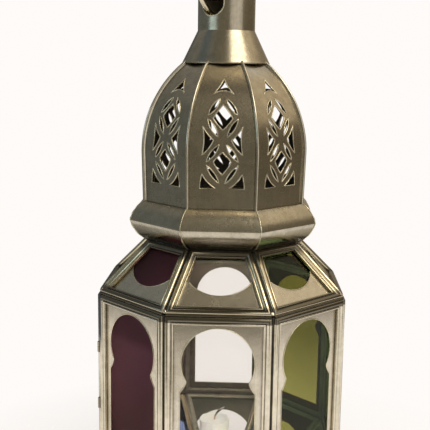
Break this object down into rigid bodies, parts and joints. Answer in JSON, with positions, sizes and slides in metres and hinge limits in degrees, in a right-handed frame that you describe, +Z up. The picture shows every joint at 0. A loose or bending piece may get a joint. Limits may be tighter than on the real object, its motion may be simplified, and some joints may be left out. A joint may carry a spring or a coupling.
{
  "type": "candle lantern",
  "caption": "Octagonal metal candle lantern with coloured glass panels, pierced dome, round neck, hanging ring, hinged side door with a turning latch, and a candle in a socket.",
  "frame": {"origin": "middle of the base plate's underside", "axes": "+Z up, front wall panel faces -Y, door in the -X wall"},
  "size_m": [0.1736, 0.17, 0.4352],
  "materials": {
    "aged_brass": "satin, aged",
    "pale_brass": "satin, aged",
    "wire": "satin, aged",
    "glass_clear": "clear",
    "glass_green": "tinted",
    "glass_amber": "tinted",
    "glass_blue": "tinted",
    "glass_red": "tinted",
    "wax": "wax",
    "wick": "matt"
  },
  "bodies": {
    "lantern": {"base_plate": "aged_brass", "candle": "wax", "candle_socket": "aged_brass", "collar": "aged_brass", "dome_panel_back": "aged_brass", "dome_panel_back_left": "aged_brass", "dome_panel_back_right": "aged_brass", "dome_panel_front": "aged_brass", "dome_panel_front_left": "aged_brass", "dome_panel_front_right": "aged_brass", "dome_panel_left": "aged_brass", "dome_panel_right": "aged_brass", "dome_seams": "aged_brass", "foot": "aged_brass", "hinge_knuckles": "aged_brass", "hinge_pins": "wire", "latch_rivet": "wire", "neck_cap": "aged_brass", "neck_cone": "aged_brass", "neck_tube": "aged_brass", "roof_frames": "pale_brass", "roof_pane_amber": "glass_amber", "roof_pane_blue": "glass_blue", "roof_pane_clear": "glass_clear", "roof_pane_green": "glass_green", "roof_pane_red": "glass_red", "roof_plates": "pale_brass", "skirt_frames": "pale_brass", "skirt_pane_amber": "glass_amber", "skirt_pane_blue": "glass_blue", "skirt_pane_clear": "glass_clear", "skirt_pane_green": "glass_green", "skirt_pane_red": "glass_red", "skirt_plates": "pale_brass", "wall_frame_back": "pale_brass", "wall_frame_back_left": "pale_brass", "wall_frame_back_right": "pale_brass", "wall_frame_front": "pale_brass", "wall_frame_front_left": "pale_brass", "wall_frame_front_right": "pale_brass", "wall_frame_right": "pale_brass", "wall_pane_back": "glass_clear", "wall_pane_back_left": "glass_blue", "wall_pane_back_right": "glass_amber", "wall_pane_front": "glass_clear", "wall_pane_front_left": "glass_red", "wall_pane_front_right": "glass_green", "wall_pane_right": "glass_clear", "wall_plates": "pale_brass", "wick": "wick"},
    "door": {"door_frame": "pale_brass", "door_plate": "pale_brass", "door_pane": "glass_clear", "door_knuckles": "aged_brass", "door_knob": "aged_brass"},
    "latch": {"latch_bar": "aged_brass"},
    "ring": {"hanging_ring": "wire"}
  },
  "joints": [
    {"name": "door_swing", "type": "hinge", "parent": "lantern", "child": "door", "pos_m": [-0.08565, -0.03548, 0.12455], "axis": [0, 0, 1], "range_deg": [0, 150]},
    {"name": "latch_turn", "type": "hinge", "parent": "lantern", "child": "latch", "pos_m": [-0.08224, 0.03726, 0.12455], "axis": [-0.7071, 0.7071, 0], "range_deg": [0, 90]},
    {"name": "ring_swing", "type": "hinge", "parent": "lantern", "child": "ring", "pos_m": [0, 0, 0.3811], "axis": [-0.682, -0.7314, 0], "range_deg": [-130, 130]}
  ]
}
